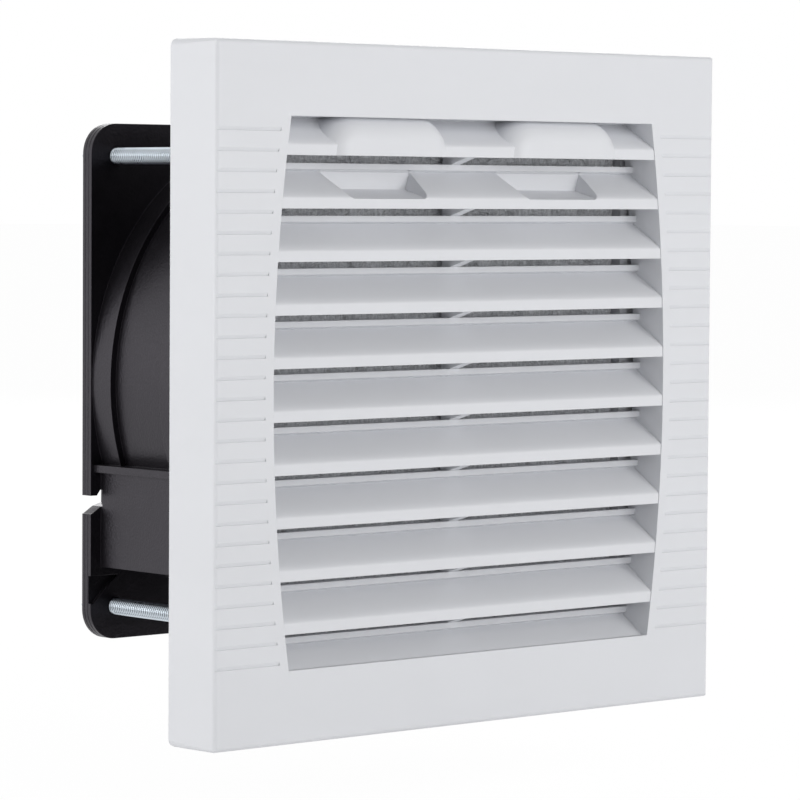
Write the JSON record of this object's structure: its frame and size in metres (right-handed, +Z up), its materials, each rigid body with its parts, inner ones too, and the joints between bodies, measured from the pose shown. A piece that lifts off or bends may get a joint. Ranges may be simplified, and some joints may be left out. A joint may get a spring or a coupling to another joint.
{
  "type": "cabinet filter fan",
  "caption": "Square louvred filter fan for a cabinet panel: a bottom-hinged cover with finger pulls over a filter mat, and an axial fan screwed to the frame behind.",
  "frame": {"origin": "centre of the panel cut-out, on the panel's outer surface where the seal lies", "axes": "+Z up, -Y out of the louvred face, +Y into the cabinet towards the fan"},
  "size_m": [0.1554, 0.077, 0.1554],
  "materials": {
    "cover_plastic": "satin",
    "frame_plastic": "satin",
    "filter_fibre": "matt",
    "seal_rubber": "matt",
    "fan_plastic": "satin",
    "plated_steel": "zinc plated",
    "bright_steel": "ground",
    "dark_steel": "oiled",
    "cage_aluminium": "cast",
    "tube_brass": "turned",
    "tab_brass": "tinned",
    "coil_copper": "enamelled",
    "insulator_plastic": "matt"
  },
  "bodies": {
    "frame": {"base_frame": "frame_plastic", "panel_seal": "seal_rubber", "filter_mat": "filter_fibre", "fan_housing": "fan_plastic", "terminal_insulator": "insulator_plastic", "terminal_tabs": "tab_brass", "motor_cap": "fan_plastic", "bearing_tube": "tube_brass", "front_bearing": "bright_steel", "rear_bearing": "bright_steel", "preload_washer": "dark_steel", "stator_core": "dark_steel", "stator_coils": "coil_copper", "stator_insulators": "insulator_plastic", "fan_screws": "plated_steel", "fan_nuts": "plated_steel", "finger_guard": "plated_steel"},
    "cover": {"front_cover": "cover_plastic"},
    "rotor": {"impeller": "fan_plastic", "rotor_cup": "plated_steel", "rotor_cage": "cage_aluminium", "motor_shaft": "bright_steel", "thrust_washer": "insulator_plastic", "retaining_clip": "dark_steel"}
  },
  "joints": [
    {"name": "cover_hinge", "type": "hinge", "parent": "frame", "child": "cover", "pos_m": [0, -0.002, -0.076], "axis": [1, 0, 0], "range_deg": [0, 90]},
    {"name": "rotor_spin", "type": "hinge", "parent": "frame", "child": "rotor", "pos_m": [0, 0, 0], "axis": [0, 1, 0], "continuous": true}
  ]
}
